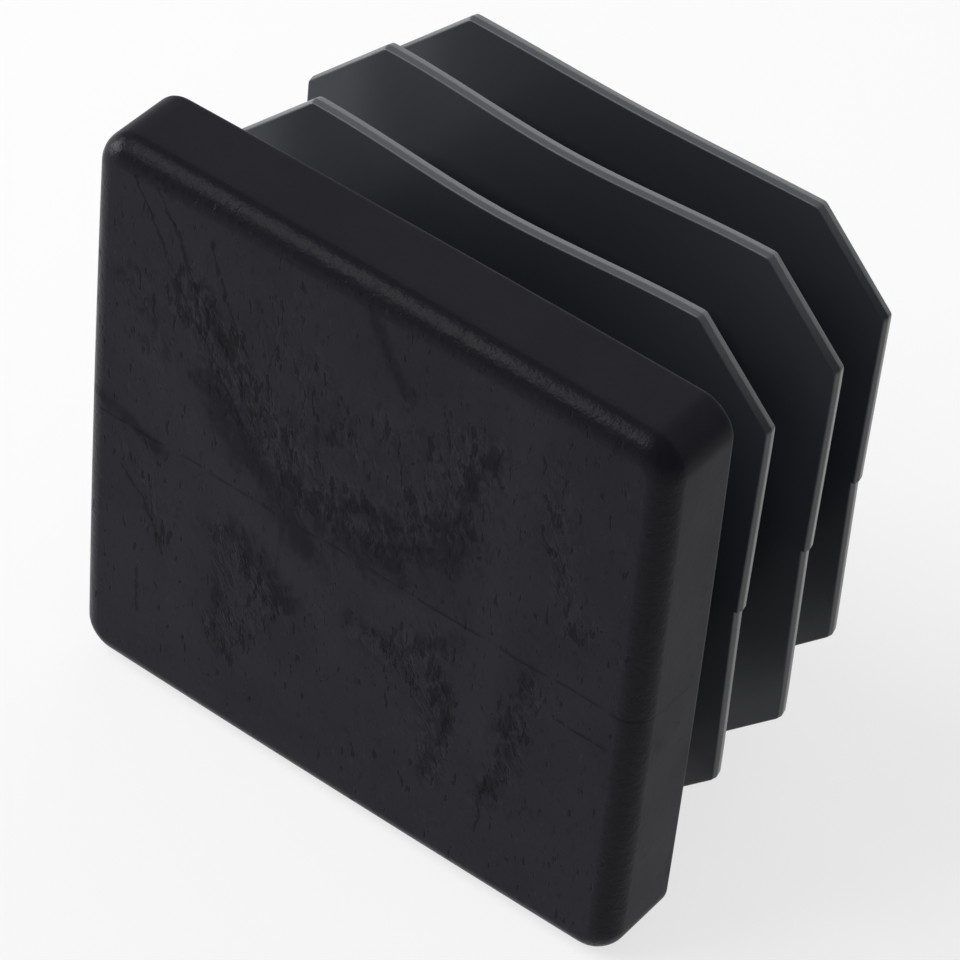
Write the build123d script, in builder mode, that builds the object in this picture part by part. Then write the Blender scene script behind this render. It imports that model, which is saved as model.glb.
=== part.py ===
"""Ribbed end cap for a square tube: one moulding in soft black plastic.

A square head closes the tube's end. Behind it stands a hollow square stem with three thin eight-sided fins, which
bend as they are pushed into the tube and grip its bore. The mould opened up and down, so its parting line runs
round the part at mid height and leaves a small step on the fins' rims.

The tube's axis is Y. The head's shoulder, where the tube's end seats, lies on Y = 0, the stem points along +Y, and
the part is drawn lying on its side with +Z up.
"""

import os

from build123d import *

# Head, in mm
head_size = 30.0            # over the middle of two opposite sides
head_thickness = 4.35       # shoulder to outer face
head_corner = 1.7           # radius of the four corners, seen along the tube
head_round = 1.25           # round between the outer face and the sides
side_crown = 0.1            # how far the middle of a side stands out past its ends

# Stem, a square pipe with one closed end
stem_size = 18.0
stem_length = 15.0
stem_wall = 1.8             # at the open end
stem_corner = 2.0
root_round = 0.5            # where the stem meets the shoulder
face_wall = 2.35            # between the hollow's floor and the outer face
core_draft = 0.5            # degrees, on the hollow's sides
hollow_corner = 1.0
floor_round = 0.5
mouth_chamfer = 0.3

# Fins, evenly spaced from the first one to the stem's open end
fin_count = 3
first_fin = 4.48            # shoulder to the middle plane of the first fin
end_lip = 0.35              # stem's end past the back of the last fin
fin_width = 28.05           # over flats, a little more than the tube's bore
fin_bow = 0.56              # how far the middle of an upper or lower free edge is bowed towards the head
side_bow = 0.25             # the same for the free edges at the sides
lead_width = 26.4           # the last fin is smaller, to lead into the tube
lead_bow = 0.22
fin_rim = 0.65              # thickness at the free edges
fin_middle = 0.70           # thickness at mid height, where the mould parted
fin_corner_cut = 3.95       # leg of the 45 degree corner cuts in the upper half
lower_corner_cut = 3.5      # the same in the lower half
fin_corner_round = 0.3
bow_reach = 10.0            # a bow ends, and the sides start to bow, this far from the middle plane
rim_draft = 0.05            # the upper half's sides widen by this towards mid height
parting_step = 0.14         # the lower half's sides stand back by this at mid height


def along_tube(y):
    """Plane across the tube, y behind the shoulder, with X to the right and Z up."""
    return Plane.XZ.offset(-y)


def fin_outline(width):
    """Eight-sided outline whose halves meet in a small step at mid height."""
    half = width / 2
    flat = half - fin_corner_cut
    low_flat = half - lower_corner_cut
    low = half - (parting_step - rim_draft)
    with BuildSketch() as outline:
        with BuildLine():
            upper = Polyline((half + rim_draft, 0), (half, flat), (flat, half), (0, half))
            lower = Polyline((0, -half), (low_flat, -half), (low, -low_flat), (low, 0))
            Line(lower @ 1, upper @ 0)
            mirror(about=Plane.YZ)
        make_face()
        cut_ends = outline.vertices().filter_by(lambda v: abs(v.Y) > flat / 2)
        fillet(cut_ends, fin_corner_round)
    return outline.sketch


def fin_strip(z, place, half_length, bow=0.0, end_bow=0.0):
    """Section of a fin at height z: a thin strip whose middle or ends are bowed towards the head."""
    thickness = fin_middle + (fin_rim - fin_middle) * abs(z) / half_length
    front = place - thickness / 2
    back = place + thickness / 2
    with BuildSketch(Plane.XY.offset(z)) as strip:
        with BuildLine():
            left = Line((-half_length, front - end_bow), (-bow_reach, front))
            middle = Spline(
                left @ 1,
                (0, front - bow),
                (bow_reach, front),
                tangents=[(1, 0), (1, 0), (1, 0)],
            )
            right = Line(middle @ 1, (half_length, front - end_bow))
            end = Line(right @ 1, (half_length, back - end_bow))
            back_right = Line(end @ 1, (bow_reach, back))
            back_middle = Spline(
                back_right @ 1,
                (0, back - bow),
                (-bow_reach, back),
                tangents=[(-1, 0), (-1, 0), (-1, 0)],
            )
            back_left = Line(back_middle @ 1, (-half_length, back - end_bow))
            Line(back_left @ 1, left @ 0)
        make_face()
    return strip.sketch


def fin(place, width, bow):
    """One fin: flat next to the stem, its free edges bowed towards the head."""
    half_length = width / 2 + rim_draft
    root = stem_size / 2
    with BuildPart() as plate:
        upper = [
            fin_strip(0, place, half_length, end_bow=side_bow),
            fin_strip(root, place, half_length),
            fin_strip(half_length, place, half_length, bow),
        ]
        loft(upper, ruled=True)
        mirror(about=Plane.XY)
        with BuildSketch(along_tube(place - head_thickness)) as rim:
            add(fin_outline(width))
        extrude(amount=-2 * head_thickness, mode=Mode.INTERSECT)
    return plate.part


half_head = head_size / 2
half_end = half_head - side_crown
last_fin = stem_length - end_lip - fin_middle / 2
fin_pitch = (last_fin - first_fin) / (fin_count - 1)

with BuildPart() as end_cap:
    # Head: a square plate with faintly crowned sides
    with BuildSketch(along_tube(0)) as head_plan:
        with BuildLine():
            top = ThreePointArc((-half_end, half_end), (0, half_head), (half_end, half_end))
            right_side = ThreePointArc(top @ 1, (half_head, 0), (half_end, -half_end))
            bottom = ThreePointArc(right_side @ 1, (0, -half_head), (-half_end, -half_end))
            ThreePointArc(bottom @ 1, (-half_head, 0), top @ 0)
        make_face()
        fillet(head_plan.vertices(), head_corner)
    extrude(amount=head_thickness)
    outer_face = end_cap.faces().sort_by(Axis.Y)[0]
    fillet(outer_face.edges(), head_round)

    # Stem, with a round where it stands on the shoulder
    with BuildSketch(along_tube(0)):
        RectangleRounded(stem_size, stem_size, stem_corner)
    extrude(amount=-stem_length)
    shoulder = end_cap.faces().filter_by(Axis.Y).sort_by(Axis.Y)[1]
    fillet(shoulder.inner_wires().edges(), root_round)

    for count in range(fin_count - 1):
        add(fin(first_fin + count * fin_pitch, fin_width, fin_bow))
    add(fin(last_fin, lead_width, lead_bow))

    # Hollow: the core was drawn out of the open end
    mouth = stem_size - 2 * stem_wall
    hollow_depth = stem_length + head_thickness - face_wall
    with BuildSketch(along_tube(stem_length)):
        RectangleRounded(mouth, mouth, hollow_corner)
    extrude(amount=hollow_depth, taper=core_draft, mode=Mode.SUBTRACT)
    floor = end_cap.faces().filter_by(Axis.Y).sort_by(lambda f: abs(f.center().Y + head_thickness - face_wall))[0]
    fillet(floor.edges(), floor_round)
    end_face = end_cap.faces().filter_by(Axis.Y).sort_by(Axis.Y)[-1]
    chamfer(end_face.inner_wires().edges(), mouth_chamfer)

end_cap.part.label = "end_cap"
os.makedirs("parts", exist_ok=True)
export_step(end_cap.part, "parts/end_cap.step")

box = end_cap.part.bounding_box()
print(f"solids {len(end_cap.part.solids())}, volume {end_cap.part.volume:.1f} mm3, size {box.size}")
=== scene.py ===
# %% [markdown]
# # The looks of a ribbed end cap for a square tube
#
# The part is one moulding in soft black plastic: a square head with rounded edges, a hollow square stem behind
# it, and three thin eight-sided fins round the stem. This lesson loads its imported model as a fixed frame, sets
# up a small product studio, makes the moulding again as one fine surface with numpy, and gives that surface the
# satin black of injection moulded plastic, with the flow streaks and scuffs of a used one, and with painted
# highlights on the fins' rims.

# %% Load the frame
import math

import bpy
import numpy as np
from mathutils import Matrix, Vector


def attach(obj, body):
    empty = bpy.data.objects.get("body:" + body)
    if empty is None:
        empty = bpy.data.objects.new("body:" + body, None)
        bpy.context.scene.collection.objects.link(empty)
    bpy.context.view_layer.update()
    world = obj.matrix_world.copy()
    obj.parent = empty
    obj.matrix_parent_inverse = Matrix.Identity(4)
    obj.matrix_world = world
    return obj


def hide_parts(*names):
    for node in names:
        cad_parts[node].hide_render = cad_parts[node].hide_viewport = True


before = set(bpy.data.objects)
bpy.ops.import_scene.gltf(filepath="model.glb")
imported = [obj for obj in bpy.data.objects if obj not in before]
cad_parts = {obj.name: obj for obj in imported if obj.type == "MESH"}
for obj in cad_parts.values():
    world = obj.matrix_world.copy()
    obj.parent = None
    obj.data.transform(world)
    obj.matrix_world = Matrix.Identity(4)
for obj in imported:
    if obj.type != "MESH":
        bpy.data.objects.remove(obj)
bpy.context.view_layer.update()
MM = 0.001
print("frame nodes:", sorted(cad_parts))

# %% [markdown]
# ## The camera
#
# The tube's axis is Y and the head's shoulder lies on Y = 0, so the outer face looks along -Y. The camera stands
# in front of that face, to its right and above it, and a long lens keeps the square nearly free of perspective.
# A camera could be aimed with a Track To constraint, but that leaves no room for the few degrees by which the
# part leans in its picture. So the three directions of the camera are worked out here: forward to the point it
# looks at, right and up from that, and then both are turned by the lean.

# %% Place the camera
camera_place = Vector((88.10, -127.04, 147.48)) * MM
camera_target = Vector((1.59, 2.23, 0.95)) * MM
camera_lean = math.radians(5.75)
lens_length, sensor_width = 188.71, 36      # mm

forward = (camera_target - camera_place).normalized()
level_right = forward.cross(Vector((0, 0, 1))).normalized()
level_up = level_right.cross(forward)
right = level_right * math.cos(camera_lean) + level_up * math.sin(camera_lean)
up = right.cross(forward)

camera_data = bpy.data.cameras.new("product_camera")
camera_data.lens = lens_length
camera_data.sensor_width = sensor_width
camera = bpy.data.objects.new("product_camera", camera_data)
turn = Matrix((right, up, -forward)).transposed()
camera.matrix_world = Matrix.Translation(camera_place) @ turn.to_4x4()
bpy.context.scene.collection.objects.link(camera)
bpy.context.scene.camera = camera
bpy.context.scene.view_settings.view_transform = "Standard"
print("camera looks along", [round(v, 3) for v in forward])

# %% [markdown]
# ## Nodes in few words
#
# Every material here is a small tree of shader nodes. Adding a node takes one line to make it, one for each
# setting and one for each link, which hides what the tree does. This helper makes a node, and takes its settings
# and its inputs by name: a value is written into the socket, and another node's output is linked to it.

# %% Helper for shader nodes
def add_node(tree, kind, inputs=None, **settings):
    """A new node of a tree, with settings by attribute and inputs by socket name or number."""
    made = tree.nodes.new(kind)
    for name, value in settings.items():
        setattr(made, name, value)
    for name, value in (inputs or {}).items():
        if isinstance(value, bpy.types.NodeSocket):
            tree.links.new(value, made.inputs[name])
        else:
            made.inputs[name].default_value = value
    return made


def new_tree(name):
    """A new material and its emptied node tree."""
    material = bpy.data.materials.new(name)
    material.use_nodes = True
    material.node_tree.nodes.clear()
    return material, material.node_tree


print("node helper ready")

# %% [markdown]
# ## The floor
#
# The cap lies on a white table that fills the whole picture. A wide plane is enough. Its white comes from a pale
# diffuse colour, and seven tenths of what the camera sees of it is plain white, by way of the Light Path node, so
# that the soft shadow stays but doesn't turn grey. Glossy and transmission rays see the same floor as the camera,
# so that the plastic mirrors what the picture shows.

# %% Make the floor
floor_half = 4.0            # m
floor_height = -15.0 * MM   # the head's lower side touches it
floor_colour = (0.94, 0.94, 0.94, 1)
plain_white_share = 0.7

floor_material, tree = new_tree("white_table")
paper = add_node(tree, "ShaderNodeBsdfDiffuse", {"Color": floor_colour})
white = add_node(tree, "ShaderNodeEmission", {"Color": (1, 1, 1, 1), "Strength": 1.0})
rays = add_node(tree, "ShaderNodeLightPath")
seen = rays.outputs["Is Camera Ray"]
for kind in ("Is Glossy Ray", "Is Transmission Ray"):
    seen = add_node(tree, "ShaderNodeMath", {0: seen, 1: rays.outputs[kind]}, operation="MAXIMUM").outputs[0]
share = add_node(tree, "ShaderNodeMath", {0: seen, 1: plain_white_share}, operation="MULTIPLY").outputs[0]
mixed = add_node(tree, "ShaderNodeMixShader", {0: share, 1: paper.outputs[0], 2: white.outputs[0]})
add_node(tree, "ShaderNodeOutputMaterial", {"Surface": mixed.outputs[0]})

floor_signs = [(-1, -1), (1, -1), (1, 1), (-1, 1)]
floor_corners = [(x * floor_half, y * floor_half, floor_height) for x, y in floor_signs]
floor_mesh = bpy.data.meshes.new("floor")
floor_mesh.from_pydata(floor_corners, [], [(0, 1, 2, 3)])
floor_mesh.materials.append(floor_material)
floor = bpy.data.objects.new("floor", floor_mesh)
bpy.context.scene.collection.objects.link(floor)
print("floor at", floor_height / MM, "mm")

# %% [markdown]
# ## The light
#
# Black plastic shows little colour of its own, so its shape is drawn by what it mirrors. The outer face mirrors the
# white table. The long round of the head's upper edge mirrors a narrow softbox that hangs above it, to the left,
# and the lower half of that round mirrors the dim room and stays dark. The rims of the fins mirror a low white
# wall behind the part, and a window at the left reaches in between the fins. A world of even grey is the room.
# Together they light a white card to nearly white, and no more.

# %% Make the room and its three lamps
room_level = 0.26
# Name, direction from the part, distance in m, a direction its first side follows, both sides in m, radiance
lamps = [
    ("softbox", (-0.42, -0.38, 0.82), 0.5, (0, 1, 0), (0.36, 0.13), 7.5),
    ("white_wall", (-0.05, 0.94, 0.34), 0.9, (1, 0, 0), (1.40, 0.56), 1.6),
    ("window", (-0.90, -0.28, 0.25), 0.6, (0, 1, 0), (0.36, 0.36), 8.6),
]

world = bpy.data.worlds.new("room")
world.use_nodes = True
world.node_tree.nodes["Background"].inputs["Color"].default_value = (1, 1, 1, 1)
world.node_tree.nodes["Background"].inputs["Strength"].default_value = room_level
bpy.context.scene.world = world

for name, place, distance, along, size, radiance in lamps:
    away = Vector(place).normalized()
    first_side = (Vector(along) - Vector(along).dot(away) * away).normalized()
    data = bpy.data.lights.new(name, "AREA")
    data.shape = "RECTANGLE"
    data.size, data.size_y = size
    data.energy = radiance * math.pi * size[0] * size[1]    # W, which gives a flat lamp this radiance
    lamp = bpy.data.objects.new(name, data)
    turn = Matrix((first_side, away.cross(first_side), away)).transposed()
    lamp.matrix_world = Matrix.Translation(away * distance) @ turn.to_4x4()
    lamp.visible_camera = False
    bpy.context.scene.collection.objects.link(lamp)
    print(name, "at", [round(v, 2) for v in away * distance], "m")

# %% [markdown]
# ## The sizes of the moulding
#
# These are the sizes of the part, in millimetres, as its solid has them. The looks add only what a mould leaves
# on every edge, because an edge without any round catches no light and looks like a drawing. The edge of the
# shoulder and the edges of the fins' rims are broken by about a tenth of a millimetre, and a rim falls by half a
# tenth from its crest to its front and to its back.

# %% Sizes in mm
head_half, side_crown = 14.9, 0.1
head_thickness, head_corner, head_round = 4.35, 1.7, 1.25
stem_half, stem_length, stem_corner, root_round = 9.0, 15.0, 2.0, 0.5
hollow_half, hollow_corner, hollow_taper = 7.2, 1.0, math.tan(math.radians(0.5))
hollow_floor, floor_round, mouth_chamfer = -2.0, 0.5, 0.3
wide_half, wide_bow, lead_half, lead_bow = 14.025, 0.56, 13.2, 0.22
fins = [(4.48, wide_half, wide_bow), (9.39, wide_half, wide_bow), (14.30, lead_half, lead_bow)]
fin_rim, fin_middle, side_bow, bow_reach = 0.65, 0.70, 0.25, 10.0
corner_cut, lower_cut, rim_draft, parting_step = 3.95, 3.5, 0.05, 0.14
shoulder_break, front_break, back_break = 0.15, 0.08, 0.08
front_slope, back_slope = 0.05, 0.06        # how far a rim falls from its crest to its front and to its back
crest_front, crest_back = 0.44, 0.50        # where the crest lies, as shares of the rim's thickness
crest_dip = 0.04                            # share of back_slope that is lost over the crest
print("fins at", [place for place, half, bow in fins], "mm behind the shoulder")

# %% [markdown]
# ## Directions round the tube's axis
#
# Head, stem, fins and hollow are all drawn round one axis, so the whole moulding can be one surface: a profile
# that is carried once round that axis, with a distance from the axis that depends on the direction. The grid's
# columns are those directions. Evenly spaced ones would cut the tight corners off, so they crowd where a corner
# of the head or of a fin is. Two columns lie a hair apart at mid height on either side, because the halves of
# the mould met there and left a step.

# %% Columns of the grid
quarter_columns = 128
hair = 0.002                                # degrees
head_crowding, head_reach = 2.2, 5.5        # more columns near a corner of the head, and how far, in degrees
fin_crowding, fin_reach = 5.5, 0.9          # the same near a corner of the fins


def quarter(cut):
    """Directions from level to upright, in degrees: even steps, divided by how crowded the columns are there."""
    even = np.linspace(0, 90, 9001)
    corner = math.degrees(math.atan2(wide_half - cut, wide_half))
    crowding = 1 + head_crowding * np.exp(-(((even - 45) / head_reach) ** 4))
    for angle in (corner, 90 - corner):
        crowding += fin_crowding * np.exp(-(((even - angle) / fin_reach) ** 2))
    running = np.concatenate([[0], np.cumsum((crowding[1:] + crowding[:-1]) / 2)])
    directions = np.interp(np.linspace(0, running[-1], quarter_columns), running, even)
    directions[0] = hair
    return directions


upper, lower = quarter(corner_cut), quarter(lower_cut)
half_turn = [np.concatenate([part, 180 - part[-2::-1]]) for part in (upper, lower)]
angles = np.radians(np.concatenate([half_turn[0], 360 - half_turn[1][::-1]]))
across, high = np.cos(angles), np.sin(angles)
print("columns:", len(angles), "closest", round(float(np.diff(upper)[1:].min()), 3), "degrees apart")

# %% [markdown]
# ## The outlines
#
# A direction is (across, high), with x = r * across and z = r * high. Each outline is given as r, the distance
# from the axis in that direction. A square with rounded corners is a straight side divided by the larger of the
# two, until the corner's circle is reached. A fin is the nearest of its straight sides, and a soft minimum in
# place of a hard one rounds its eight corners a little.

# %% Outlines as distances from the axis
sharpness = 480             # of the soft minimum
tiny = 1e-9


def rounded_square(half, corner):
    """r = half / max(|across|, |high|) on a side; at a corner, the far crossing with the corner's circle."""
    half, corner = np.asarray(half, float)[..., None], np.asarray(corner, float)[..., None]
    a, h = np.abs(across), np.abs(high)
    side = half / np.maximum(a, h)
    centre = half - corner
    inside = np.maximum(corner**2 - centre**2 * (a - h) ** 2, 0)
    return np.where(side * np.minimum(a, h) > centre, centre * (a + h) + np.sqrt(inside), side)


def head_outline(inset=0.0):
    """The rounded square of the head, set in by inset, with sides crowned by (1 - (position along the side)^2)."""
    a, h = np.abs(across), np.abs(high)
    along = np.minimum(a, h) / np.maximum(a, h)
    inset = np.asarray(inset, float)
    crown = side_crown * (1 - along**2) / np.maximum(a, h)
    return rounded_square(head_half - inset, head_corner - inset) + crown


def fin_outline(half, inset=0.0):
    """The soft minimum of the distances to a fin's level edges, its sides and its corner cuts.

    Above mid height a side widens by rim_draft down to the parting line, below it the side stands back."""
    upper_flat = half - corner_cut
    low = half + rim_draft - parting_step
    a, h = np.abs(across), np.abs(high)
    level = half / np.maximum(h, tiny)
    side = np.where(high > 0, (half + rim_draft) / (a + rim_draft * h / upper_flat), low / np.maximum(a, tiny))
    flat = np.where(high > 0, upper_flat, half - lower_cut)
    drop = np.where(high > 0, half, low) - flat
    cut = (flat * (half - flat) + half * drop) / (a * (half - flat) + h * drop)
    distances = np.stack([level, side, cut])
    nearest = distances.min(0)
    soft = nearest * ((nearest / distances) ** sharpness).sum(0) ** (-1 / sharpness)
    return soft - np.asarray(inset, float)[..., None]


reaches = [round(float(outline.max()), 2) for outline in (head_outline(), fin_outline(wide_half))]
print("head and fin reach", reaches, "mm from the axis")

# %% [markdown]
# ## Head: face, round, side and shoulder
#
# The profile starts in the middle of the outer face, runs out over the round of its edge and back along the
# side, breaks at the shoulder and comes in to the stem. Every stretch of it is a small array of rings, where a
# ring has a distance r and a place y for each direction. Four more numbers, from 0 to 1, go with them for the
# finish and the painted light: how much a point belongs to a rounded edge, to a fin, to the rim of a fin and to
# the rim's rear edge, where a highlight is painted.

# %% Rings of the head
def stretch(r, y, rounded=0.0, fin=0.0, rim=0.0, painted_highlight=0.0):
    """Rings of one stretch of the profile, as arrays of one shape: r, y and the four numbers for the finish."""
    r = np.atleast_2d(r)
    return [np.broadcast_to(part, r.shape).astype(float) for part in (r, y, rounded, fin, rim, painted_highlight)]


def column(values):
    """Numbers along the profile, turned so that they spread over all directions."""
    return np.asarray(values, float)[:, None]


share = np.concatenate([np.linspace(0, 0.975, 44)[1:], [0.99, 1.0]])
face = stretch(column(share) * head_outline(head_round), -head_thickness)

bend = np.linspace(0, math.pi / 2, 13)[1:]
edge = stretch(
    head_outline(head_round * (1 - np.sin(bend))),
    column(-head_thickness + head_round * (1 - np.cos(bend))),
    rounded=column(np.sin(2 * bend) ** 0.5),
)

side_y = np.array([-2.95, -2.5, -1.9, -1.2, -0.6, -0.25])       # mm, one ring each
side = stretch(head_outline(np.zeros(len(side_y))), column(side_y))

bend = np.linspace(0, math.pi / 2, 5)
lip = stretch(
    head_outline(shoulder_break * (1 - np.cos(bend))),
    column(-shoulder_break * (1 - np.sin(bend))),
)

share = column([0.97, 0.7, 0.35, 0.06])
stem = rounded_square(stem_half, stem_corner)
root = stem + root_round
shoulder = stretch(root + share * (head_outline(shoulder_break) - root), 0.0)
bend = np.linspace(0, math.pi / 2, 5)
root_bend = stretch(stem + column(root_round * (1 - np.sin(bend))), column(root_round * (1 - np.cos(bend))))
head = [face, edge, side, lip, shoulder, root_bend]
print("rings of the head:", sum(len(part[0]) for part in head))

# %% [markdown]
# ## The fins
#
# A fin starts at the stem, runs out along its front, turns over its rim and runs back in. The rim could be flat,
# but on the real part it mirrors the light in two tones, so it has a crest near its middle. The free upper and
# lower edges are bowed towards the head, most in their middle, because the thin plastic shrank as it cooled. The
# bow is a smooth step over x, and grows evenly from the stem out to the edge. The free edges at the sides are bowed
# less, and most at mid height.

# %% Rings of the fins
# A fin's finish is its coat and its painted reflection grey; at the root it holds only in part.
fin_at_root, fin_gain = 0.35, 4     # how much the fin's finish holds at its root, and how fast that grows


def bowed(r, y, half, bow):
    """y moved towards the head: at a level edge by bow * (1 - 3u^2 + 2u^3), u = |x| / reach, and by how far z is
    past the stem; at a side by side_bow, by how far x is past the reach and how close z is to mid height."""
    x, z = np.abs(r * across), np.abs(r * high)
    u = np.clip(x / bow_reach, 0, 1)
    past_stem = np.clip((z - stem_half) / (half + rim_draft - stem_half), 0, 1)
    past_reach = np.clip((x - bow_reach) / (half + rim_draft - bow_reach), 0, 1)
    near_middle = np.clip(1 - z / stem_half, 0, 1)
    return y - bow * (1 - 3 * u**2 + 2 * u**3) * past_stem - side_bow * past_reach * near_middle


def fin_rings(place, half, bow):
    """Front, rim and back of one fin, from the stem and back to it."""
    out = np.array([0, 0.04, 0.2, 0.4, 0.6, 0.8, 0.94, 0.99])
    bend = np.linspace(0, math.pi / 2, 5)
    front_bend, back_bend = front_break * (1 - np.sin(bend)), back_break * (1 - np.sin(bend[::-1]))
    over = np.array([0.25, crest_front, crest_back, 0.75])
    fall = np.interp(over, [0, crest_front, crest_back, 1], [front_slope, 0, crest_dip * back_slope, back_slope])
    inset = np.concatenate([front_slope + front_bend, fall, back_slope + back_bend])
    outline = fin_outline(half)
    front = stem + column(out) * (outline - front_break - front_slope - stem)
    back = stem + column(out[::-1]) * (outline - back_break - back_slope - stem)
    r = np.concatenate([front, fin_outline(half, inset), back])
    thick = fin_middle + (fin_rim - fin_middle) * np.clip(np.abs(r * high) / half, 0, 1)
    ends = np.concatenate([-np.ones(len(out) + len(bend)), 2 * over - 1, np.ones(len(out) + len(bend))])
    front_sunk, back_sunk = front_break * (1 - np.cos(bend)), -back_break * (1 - np.cos(bend[::-1]))
    between = front_break * (1 - over) - back_break * over
    sunk = np.concatenate([np.zeros(len(out)), front_sunk, between, back_sunk, np.zeros(len(out))])
    y = place + column(ends) * thick / 2 + column(sunk)
    level, turned = np.zeros(len(out)), np.sqrt(np.sin(bend))
    on_rim = np.concatenate([level, turned, np.ones(len(over)), turned[::-1], level])
    # at_back marks the rim's rear edge, where a highlight is painted.
    at_back = np.concatenate([level, 0 * bend, [0, 0, 0.1, 0.6], turned[::-1], level])
    from_root = np.minimum(fin_at_root + fin_gain * out, 1)
    on_fin = np.concatenate([from_root, np.ones(len(inset)), from_root[::-1]])
    return stretch(r, bowed(r, y, half, bow), fin=column(on_fin), rim=column(on_rim), painted_highlight=column(at_back))


fin_parts = [fin_rings(*fin) for fin in fins]
print("rings of the fins:", sum(len(part[0]) for part in fin_parts))

# %% [markdown]
# ## The stem's end and the hollow
#
# Behind the last fin the stem ends in a plain edge, as smooth as the fins and nearly as grey as their painted
# reflection. The moulding's core was drawn out of it, so the hollow is a little narrower at its floor than at its
# mouth.

# %% Rings of the stem's end and the hollow
# The stem's end and the hollow's wall take these shares of the fins' coat and of their painted reflection grey.
end_coat_and_sheen, wall_coat_and_sheen = 0.8, 0.5      # how much of the fins' finish the stem's end and the hollow's wall have
bend = np.linspace(0, math.pi / 2, 4)
end_edge = stretch(
    stem - column(front_break * (1 - np.cos(bend))),
    column(stem_length - front_break * (1 - np.sin(bend))),
    fin=end_coat_and_sheen,
)

wall_length = stem_length - hollow_floor - floor_round
depth = stem_length - np.array([mouth_chamfer, 1.0, 3.0, 6.0, 9.0, 12.0, 15.0, wall_length])
wall_half = hollow_half - hollow_taper * (stem_length - depth)
mouth = rounded_square(hollow_half + mouth_chamfer, hollow_corner + mouth_chamfer)
end_face = stretch(np.stack([stem - 0.25, mouth + 0.1, mouth]), stem_length, fin=end_coat_and_sheen)
wall_outline = rounded_square(wall_half, np.full(len(depth), hollow_corner))
wall = stretch(wall_outline, column(depth), fin=wall_coat_and_sheen)
bend = np.linspace(0, math.pi / 2, 5)[1:]
drawn_in = floor_round * (1 - np.cos(bend))
hollow_bend = stretch(
    rounded_square(wall_half[-1] - drawn_in, hollow_corner - drawn_in),
    column(hollow_floor + floor_round * (1 - np.sin(bend))),
)
share = column([0.95, 0.75, 0.5, 0.25])
hollow_end = stretch(share * hollow_bend[0][-1], hollow_floor)
tail = [end_edge, end_face, wall, hollow_bend, hollow_end]
print("rings of the end and the hollow:", sum(len(part[0]) for part in tail))

# %% [markdown]
# ## One closed surface
#
# All stretches are stacked into one grid of rings. A single point closes it in the middle of the outer face, and
# another in the middle of the hollow's floor. The faces between rings are found by counting: ring i and column j
# join ring i + 1 and column j + 1, and the last column joins the first. A closed surface whose faces point
# outwards has a positive volume, and that is printed as a check.

# %% Join the rings
sharp_angle = math.radians(32)      # edges that turn by more than this stay sharp


def carried_profile(name, parts, first_y, last_y):
    """A closed mesh from rings of (r, y): vertices are (r * across, y, r * high), and two poles close it."""
    r, y, *finish = (np.concatenate([part[i] for part in parts]) for i in range(len(parts[0])))
    rings, columns = r.shape
    grid = np.stack([r * across, y, r * high], 2).reshape(-1, 3)
    points = np.concatenate([[(0, first_y, 0)], grid, [(0, last_y, 0)]]) * MM
    number = 1 + np.arange(rings * columns).reshape(rings, columns)
    following = np.roll(number, -1, axis=1)
    quads = np.stack([number[:-1], number[1:], following[1:], following[:-1]], 2).reshape(-1, 4)
    first = np.stack([np.zeros(columns, int), number[0], following[0]], 1)
    last = np.stack([following[-1], number[-1], np.full(columns, len(points) - 1)], 1)
    loops = np.concatenate([first.ravel(), quads.ravel(), last.ravel()])
    sizes = np.concatenate([np.full(columns, 3), np.full(len(quads), 4), np.full(columns, 3)])

    mesh = bpy.data.meshes.new(name)
    mesh.vertices.add(len(points))
    mesh.vertices.foreach_set("co", points.ravel())
    mesh.loops.add(len(loops))
    mesh.loops.foreach_set("vertex_index", loops.astype(np.int32))
    mesh.polygons.add(len(sizes))
    mesh.polygons.foreach_set("loop_start", np.concatenate([[0], np.cumsum(sizes)[:-1]]).astype(np.int32))
    mesh.polygons.foreach_set("use_smooth", np.ones(len(sizes), bool))
    mesh.update(calc_edges=True)
    mesh.set_sharp_from_angle(angle=sharp_angle)
    for label, share in zip(("rounded", "fin", "rim", "painted_highlight"), finish):
        attribute = mesh.attributes.new(label, "FLOAT", "POINT")
        attribute.data.foreach_set("value", np.concatenate([[share[0, 0]], share.ravel(), [share[-1, 0]]]))

    corners = points[np.concatenate([first, quads[:, :3], quads[:, [0, 2, 3]], last])]
    volume = np.einsum("ij,ij->i", corners[:, 0], np.cross(corners[:, 1], corners[:, 2])).sum() / 6
    print(f"{name}: {rings} rings of {columns}, {len(corners)} triangles, {volume / MM**3:.0f} mm3")
    return mesh


cap_mesh = carried_profile("end_cap_moulding", head + fin_parts + tail, -head_thickness, hollow_floor)
cap = bpy.data.objects.new("end_cap_moulding", cap_mesh)
bpy.context.scene.collection.objects.link(cap)

# %% [markdown]
# ## Where the outer face is marked
#
# The melt entered behind the outer face and spread over it in tongues. Where a tongue ran freely the face is
# clean. Between the tongues it is smeared, mottled and in places wrinkled: in a wide V from both upper corners
# down to the middle, and in patches under it. A painted mask would be one way to place them. Here each zone is a
# broad stroke along a broken line, worked out for every vertex, and a shader later fills it with fine marks.

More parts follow.
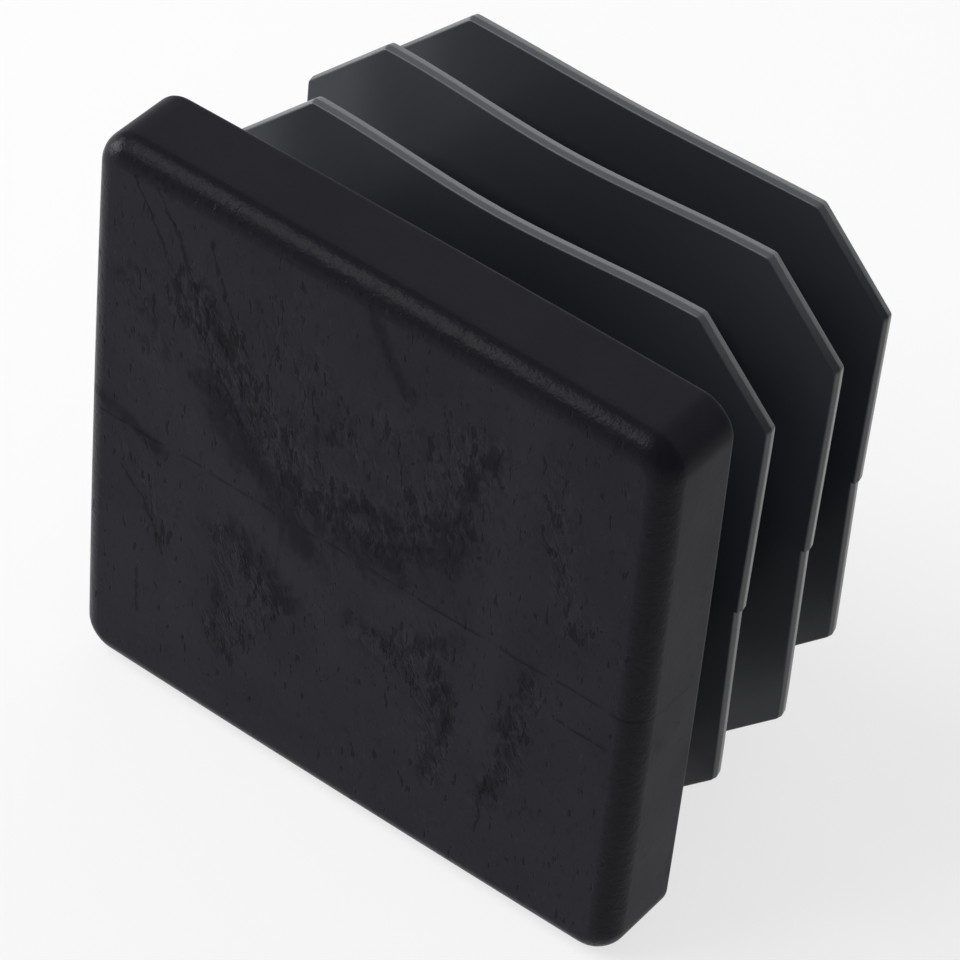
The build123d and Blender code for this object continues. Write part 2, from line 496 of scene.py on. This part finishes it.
# %% Masks on the outer face
# Each stroke: the corners (x, z) of its line in mm, its radius in mm and its depth
smear_strokes = [
    ([(-7.8, 4.8), (-6.4, 2.6), (-4.3, 1.2), (-2.6, -1.0)], 1.10, 1.0),
    ([(-10.2, 9.4), (-7.9, 5.4)], 0.50, 0.55),
    ([(-8.9, 10.2), (-7.4, 7.6), (-6.0, 5.8)], 0.50, 0.60),
    ([(-3.6, 1.2), (1.4, 0.9), (3.6, 2.9), (5.2, 4.6)], 1.60, 0.80),
    ([(6.6, 10.2), (5.6, 8.2), (5.2, 5.4)], 0.55, 0.85),
    ([(-0.5, 2.8), (0.6, 3.3), (2.0, 3.2)], 0.45, 0.95),
    ([(-3.8, 5.8), (-1.4, 5.6)], 0.90, 0.50),
    ([(-0.3, 14.4), (0.8, 12.4), (2.2, 10.6)], 0.50, 0.80),
    ([(-14.0, 0.8), (-12.2, 0.2), (-10.6, -0.5)], 0.45, 1.0),
    ([(-6.4, -2.4), (-4.9, -3.2), (-3.4, -4.8)], 0.95, 0.85),
    ([(-7.0, -6.6), (-7.2, -9.4), (-6.2, -9.7)], 0.50, 0.60),
    ([(0.2, -3.4), (2.4, -3.6), (5.8, -1.2)], 0.70, 0.55),
    ([(5.2, -3.4), (5.6, -6.4), (4.7, -8.2), (4.5, -10.4)], 0.60, 0.60),
    ([(9.2, -1.0), (8.4, -4.4), (8.5, -7.0), (7.7, -9.4)], 0.60, 0.60),
    ([(-12.6, 8.2), (-11.2, 5.8)], 1.00, 0.40),
]
mottle_strokes = [
    ([(-9.2, 9.0), (-6.0, 5.4), (-2.6, 2.4), (1.2, 2.6), (4.6, 5.4), (5.8, 9.6)], 2.1, 1.0),
    ([(-4.4, 9.4), (-0.4, 6.4), (2.6, 8.4)], 2.4, 0.6),
    ([(-6.4, -3.0), (-4.2, -5.0), (-6.6, -9.2)], 1.3, 0.9),
    ([(1.2, -4.2), (4.8, -2.4), (5.0, -9.4)], 1.3, 0.9),
    ([(9.8, -1.4), (8.6, -5.4), (8.2, -9.0)], 1.0, 0.8),
    ([(9.8, 11.2), (10.2, 6.6), (11.6, 3.8)], 1.3, 0.7),
    ([(-12.4, -1.2), (-10.8, -3.0), (-10.4, -5.4)], 0.7, 0.7),
    ([(-12.6, 8.4), (-11.0, 5.4)], 1.5, 0.6),
]
wrinkle_strokes = [
    ([(-6.9, -3.0), (-6.6, -6.2), (-7.1, -9.6)], 0.80, 1.0),
    ([(-5.6, -3.6), (-3.6, -6.2)], 0.80, 0.8),
    ([(3.0, -4.2), (5.2, -4.6), (4.8, -8.8)], 0.95, 1.0),
    ([(9.2, -1.4), (8.4, -8.4)], 0.70, 0.8),
    ([(-8.4, 9.2), (-6.6, 6.6), (-5.2, 4.2)], 0.80, 0.8),
    ([(-0.6, 3.2), (2.2, 3.2), (3.4, 4.4)], 0.60, 0.5),
    ([(9.8, 8.0), (10.4, 5.2)], 0.80, 0.6),
]
clean_strokes = [
    ([(-11.4, 4.8), (-8.6, 1.4), (-5.4, -1.4), (-1.6, -3.6), (-0.6, -6.0)], 0.95, 1.0),
    ([(8.2, 13.2), (7.4, 6.4), (7.2, 0.4), (7.0, -6.4)], 0.95, 0.9),
    ([(1.6, -1.2), (5.4, -0.2)], 0.60, 0.7),
    ([(-9.4, -2.2), (-9.2, -9.8)], 0.90, 0.8),
]


def strokes(x, z, lines):
    """The largest over all lines of depth * exp(-(distance to the broken line / radius)^2)."""
    total = np.zeros(len(x))
    for corners, radius, depth in lines:
        for (ax, az), (bx, bz) in zip(corners, corners[1:]):
            run, rise = bx - ax, bz - az
            along = np.clip(((x - ax) * run + (z - az) * rise) / (run**2 + rise**2), 0, 1)
            away = np.hypot(x - ax - along * run, z - az - along * rise)
            total = np.maximum(total, depth * np.exp(-((away / radius) ** 2)))
    return total


points = np.empty(len(cap_mesh.vertices) * 3)
cap_mesh.vertices.foreach_get("co", points)
x, y, z = points.reshape(-1, 3).T / MM
outer = np.clip((-head_thickness + head_round - y) / head_round, 0, 1)
zones = {"smeared": smear_strokes, "mottled": mottle_strokes, "wrinkled": wrinkle_strokes, "clean": clean_strokes}
values = {"outer": outer} | {name: strokes(x, z, lines) * outer for name, lines in zones.items()}
for name, value in values.items():
    attribute = cap_mesh.attributes.new(name, "FLOAT", "POINT")
    attribute.data.foreach_set("value", value)
print("masks:", [attribute.name for attribute in cap_mesh.attributes if attribute.data_type == "FLOAT"])

# %% [markdown]
# ## Black plastic: tools for its marks
#
# Moulded soft plastic is close to black, with a weak and rather dull shine. One Principled shader does it. Its
# shine is set low and constant, and the marks come from noise that is read in millimetres of the object. These
# helpers each add one step: a noise, a smooth step between two values, a sum or a product, and a mix of colours.

# %% Helpers for the plastic
plastic, tree = new_tree("black_moulded_plastic")
place = add_node(tree, "ShaderNodeTexCoord")
scaled = {"Vector": place.outputs["Object"], "Scale": (1 / MM, 1 / MM, 1 / MM)}
in_mm = add_node(tree, "ShaderNodeMapping", scaled).outputs[0]


def stretched(scale, turn=0.0):
    """Coordinates turned about Y and then scaled: a small scale along one direction makes long marks there."""
    turned = add_node(tree, "ShaderNodeMapping", {"Vector": in_mm, "Rotation": (0, turn, 0)})
    return add_node(tree, "ShaderNodeMapping", {"Vector": turned.outputs[0], "Scale": scale}).outputs[0]


def noise(scale, detail=3.0, vector=None, rough=0.5, curl=0.0):
    """Noise from 0 to 1 whose marks are about 1/scale millimetres wide, and curled by curl."""
    inputs = {"Vector": vector or in_mm, "Scale": scale, "Detail": detail, "Roughness": rough, "Distortion": curl}
    return add_node(tree, "ShaderNodeTexNoise", inputs).outputs["Fac"]


def ramp(value, low, high, to_low=0.0, to_high=1.0):
    """A smooth step of value from to_low at low to to_high at high."""
    inputs = {"Value": value, "From Min": low, "From Max": high, "To Min": to_low, "To Max": to_high}
    return add_node(tree, "ShaderNodeMapRange", inputs, interpolation_type="SMOOTHSTEP").outputs[0]


def calculate(operation, first, second=0.0, third=0.0):
    """One step of arithmetic on values or node outputs."""
    return add_node(tree, "ShaderNodeMath", {0: first, 1: second, 2: third}, operation=operation).outputs[0]


def times(first, second):
    """The product of two values."""
    return calculate("MULTIPLY", first, second)


def blend(factor, first, second):
    """Colour first where factor is 0 and second where it is 1."""
    return add_node(tree, "ShaderNodeMix", {0: factor, 6: first, 7: second}, data_type="RGBA").outputs[2]


def mask(name):
    """A mask of the mesh."""
    return add_node(tree, "ShaderNodeAttribute", attribute_name=name).outputs["Fac"]


print("helpers ready")

# %% [markdown]
# ## Smears, mottling, wrinkles and flecks
#
# A smear is only a darker tone with soft ends. Mottling is a field of small crisp flakes, some darker and some
# paler than the face, which also stand a few hundredths of a millimetre up or down. Wrinkles are furrows along the
# flow of the melt, from a noise that is stretched that way, with finer curled ones between them, found where the
# flakes' noise passes through its middle value, and their darker colour is painted shade in the furrows. A cloudy
# noise is added to every zone's mask, which makes the zones ragged. Upright marks and fine flecks, dark and pale
# ones, lie over the whole face.

# %% Patches on the plastic
def middle_line(value, width):
    """1 where a noise passes through its middle value, and 0 away from there by more than width."""
    return ramp(calculate("ABSOLUTE", calculate("SUBTRACT", value, 0.5)), 0.0, width, 1.0, 0.0)


cloudy = noise(0.9, 2.0, stretched((1.0, 1.0, 0.6)), 0.62)


def ragged_zone(name, low, high, ragged=0.9):
    """A zone's mask with the cloudy noise added, as a step from low to high."""
    return ramp(calculate("ADD", mask(name), calculate("MULTIPLY_ADD", cloudy, ragged, -0.5 * ragged)), low, high)


flow_turn = math.radians(-58)
outer_face, clean = mask("outer"), mask("clean")
flake = noise(1.0, 2.0, stretched((2.2, 1.0, 1.25)), 0.6, 0.7)
smear_sum = calculate("ADD", mask("smeared"), calculate("MULTIPLY_ADD", flake, 1.3, -0.65))
smears = ramp(calculate("ADD", smear_sum, calculate("MULTIPLY_ADD", cloudy, 1.2, -0.6)), 0.12, 0.95)
in_mottle = ragged_zone("mottled", 0.05, 0.95, 1.2)
in_wrinkle = ragged_zone("wrinkled", 0.15, 0.75, 1.0)
dark_flakes = times(ramp(flake, 0.52, 0.57), in_mottle)
pale_flakes = times(ramp(flake, 0.41, 0.46, 1.0, 0.0), in_mottle)
upright = noise(1.0, 2.0, stretched((3.6, 1.0, 1.1)), 0.55)
upright_marks = times(ramp(calculate("MULTIPLY_ADD", in_mottle, 0.11, upright), 0.66, 0.70), outer_face)
along_flow = noise(1.0, 2.0, stretched((0.80, 1.0, 3.4), flow_turn), 0.55, 0.6)
flow_marks = times(ramp(calculate("MULTIPLY_ADD", in_wrinkle, 0.12, along_flow), 0.62, 0.66), in_wrinkle)
wrinkles = calculate("MAXIMUM", flow_marks, times(middle_line(flake, 0.030), times(in_wrinkle, 0.6)))
fleck = noise(1.0, 3.0, stretched((4.4, 1.0, 1.8)), 0.6)
fine_flecks = times(ramp(fleck, 0.59, 0.70), outer_face)
pale_flecks = times(ramp(fleck, 0.28, 0.38, 1.0, 0.0), outer_face)
print("patch nodes:", len(tree.nodes))

# %% [markdown]
# ## Scratches and the seam
#
# A few thin lines can be told apart on the real face: flow lines that fan out from the upper left corner, and
# short scratches near the edges. Each is a broken line, and the shader works out how far a point is from it. The
# seam is where the two halves of the mould met, a dark line round the part at mid height. It is broken up by
# clouds, a broad noise that also shades the whole part in the next cell.

# %% Lines on the plastic
scratch_lines = [
    [(-12.4, 13.8), (-9.9, 9.4), (-8.3, 7.0), (-6.2, 3.8)],
    [(-11.2, 13.8), (-10.1, 12.0), (-8.9, 9.5)],
    [(-10.0, 12.2), (-9.1, 9.9), (-7.7, 7.9), (-6.4, 6.0), (-5.4, 4.3)],
    [(-8.3, 12.7), (-7.2, 9.6), (-5.9, 7.2)],
    [(-12.7, -2.6), (-11.2, -4.0), (-10.2, -6.4)],
    [(-11.7, -8.0), (-11.5, -10.8)],
    [(10.9, -2.1), (13.4, -2.2)],
    [(7.8, -7.6), (7.5, -11.4)],
]
line_start = 0.02                       # mm from the middle of a line, where it begins to fade
scratch_width, seam_width = 0.12, 0.12  # mm, where it has faded
wobble = Vector((0.7, 0, 0.4))          # mm
seam_sway = 0.5                         # mm


def vectors(operation, inputs, output=0):
    """One step of arithmetic on vectors."""
    return add_node(tree, "ShaderNodeVectorMath", inputs, operation=operation).outputs[output]


wobble_noise = {"Vector": in_mm, "Scale": 1.3, "Detail": 3.0, "Roughness": 0.6}
ragged = add_node(tree, "ShaderNodeTexNoise", wobble_noise).outputs["Color"]
shift = vectors("MULTIPLY_ADD", {0: ragged, 1: wobble, 2: -wobble / 2})
on_plane = vectors("MULTIPLY_ADD", {0: in_mm, 1: (1, 0, 1), 2: shift})


def away_from(start, end):
    """Distance in the plane from the straight line between two points: |p - start - t * run|, t held in 0 to 1."""
    run = Vector((end[0] - start[0], 0, end[1] - start[1]))
    from_start = vectors("SUBTRACT", {0: on_plane, 1: (start[0], 0, start[1])})
    along = vectors("DOT_PRODUCT", {0: from_start, 1: run / run.length_squared}, "Value")
    held = add_node(tree, "ShaderNodeClamp", {"Value": along}).outputs[0]
    reached = vectors("SCALE", {0: run, "Scale": held})
    return vectors("DISTANCE", {0: from_start, 1: reached}, "Value")


nearest = 100.0             # mm, further than any point of the face
for line in scratch_lines:
    for start, end in zip(line, line[1:]):
        nearest = calculate("MINIMUM", away_from(start, end), nearest)
gaps = ramp(fleck, 0.32, 0.50)
scratches = times(times(ramp(nearest, line_start, scratch_width, 1.0, 0.0), gaps), outer_face)

height = add_node(tree, "ShaderNodeSeparateXYZ", {0: in_mm}).outputs["Z"]
clouds = noise(0.28, 3.0)
off_seam = calculate("ADD", height, calculate("MULTIPLY_ADD", clouds, seam_sway, -seam_sway / 2))
broken = calculate("MAXIMUM", ramp(clouds, 0.44, 0.56), ramp(clouds, 0.38, 0.42, 0.8, 0.0))
seam = times(ramp(calculate("ABSOLUTE", off_seam), line_start, seam_width, 1.0, 0.0), broken)
print("lines and patches:", len(tree.nodes), "nodes")

# %% [markdown]
# ## Colour, shine and relief
#
# The head is nearly black and matt, and a shade paler where its face is clean. The fins are smoother, so a thin
# glossy coat lies on them, and they are painted a shade greyer than the head as a painted reflection. Their rims
# are painted darker along their sides as painted shade, and pale at the top and along their rear edge as a painted
# highlight. The rounded edges of the head are grainy, as the spark eroded edge of a mould leaves them, and darker
# as a painted shade. Only colour, roughness, relief and the share of coat vary, so the weak shine of the plastic
# stays one number.

# %% The plastic
head_black = (0.0136, 0.0124, 0.0180, 1)
cloud_black = (0.0116, 0.0107, 0.0156, 1)
clean_black = (0.0156, 0.0143, 0.0202, 1)
# painted shade for the head's rounded edges
round_shade_black = (0.0096, 0.0088, 0.0126, 1)
mark_black = (0.0020, 0.0020, 0.0030, 1)
pale_mark = (0.0250, 0.0240, 0.0300, 1)
# painted reflection grey of the fins
fin_reflection_grey = (0.034, 0.037, 0.045, 1)
# painted shade grey of the rims' sides
rim_shade_grey = (0.022, 0.024, 0.028, 1)
# painted highlight grey of the rims' tops and rear edges
painted_highlight_grey = (0.088, 0.093, 0.102, 1)
# heights above mid height over which the painted highlight spreads over the upper rims
highlight_from, highlight_full = 9.0, 13.8        # mm above mid height, where the rims begin to be worn and are so all over
dull_shine, fin_coat, coat_roughness = 0.065, 0.5, 0.32
face_roughness = 0.36
grain_depth, mark_depth = 0.012, 0.040  # mm
flat_grain, round_grain = 0.8, 5.2      # the grain's strength on a flat side, and how much a round adds to it

colour = blend(ramp(clouds, 0.35, 0.65), head_black, cloud_black)
colour = blend(clean, colour, clean_black)
# Painted shade: the rounded edges of the head are darkened in colour.
colour = blend(mask("rounded"), colour, round_shade_black)
colour = blend(calculate("MAXIMUM", times(pale_flakes, 0.30), times(pale_flecks, 0.40)), colour, pale_mark)
# The wrinkles' share darkens them as painted shade in their furrows; the other marks are the plastic's own.
darkened = [
    (smears, 0.33), (dark_flakes, 0.27), (upright_marks, 0.34), (wrinkles, 0.38),
    (fine_flecks, 0.45), (scratches, 0.88), (seam, 0.85),
]
for marks, share in darkened:
    colour = blend(times(marks, share), colour, mark_black)
# Painted reflection: the fins, the stem's end and the hollow's wall are painted a shade greyer than the head.
colour = blend(mask("fin"), colour, fin_reflection_grey)
# Painted shade: the rims are painted darker along their sides.
colour = blend(mask("rim"), colour, rim_shade_grey)
# Painted highlight: the rims are painted pale over their upper parts and along their rear edge.
painted_highlight = calculate("MAXIMUM", times(mask("rim"), ramp(height, highlight_from, highlight_full)), mask("painted_highlight"))
colour = blend(painted_highlight, colour, painted_highlight_grey)

roughness = face_roughness
dull_marks = calculate("MAXIMUM", smears, upright_marks)
for where, more in ((clouds, 0.12), (mask("rounded"), -0.11), (mask("rim"), -0.18), (dull_marks, 0.20)):
    roughness = calculate("MULTIPLY_ADD", where, more, roughness)

grain = times(noise(2.8, 2.0, None, 0.66), calculate("MULTIPLY_ADD", mask("rounded"), round_grain, flat_grain))
fine = add_node(tree, "ShaderNodeBump", {"Strength": 0.5, "Distance": grain_depth * MM, "Height": grain})
height_of_marks = times(calculate("SUBTRACT", 0.5, flake), times(in_mottle, 2.0))
for marks, sunk in ((upright_marks, -0.40), (flow_marks, -0.40)):
    height_of_marks = calculate("MULTIPLY_ADD", marks, sunk, height_of_marks)
relief = add_node(tree, "ShaderNodeBump", {
    "Strength": 0.7,
    "Distance": mark_depth * MM,
    "Height": height_of_marks,
    "Normal": fine.outputs[0],
})
shader = add_node(tree, "ShaderNodeBsdfPrincipled", {
    "Base Color": colour,
    "Roughness": roughness,
    "Specular IOR Level": dull_shine,
    "Coat Weight": times(mask("fin"), fin_coat),
    "Coat Roughness": coat_roughness,
    "Normal": relief.outputs[0],
})
add_node(tree, "ShaderNodeOutputMaterial", {"Surface": shader.outputs[0]})
cap_mesh.materials.append(plastic)
print("plastic nodes:", len(tree.nodes))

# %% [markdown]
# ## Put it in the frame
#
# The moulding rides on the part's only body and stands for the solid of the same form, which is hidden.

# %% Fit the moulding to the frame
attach(cap, "root")
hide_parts("end_cap")
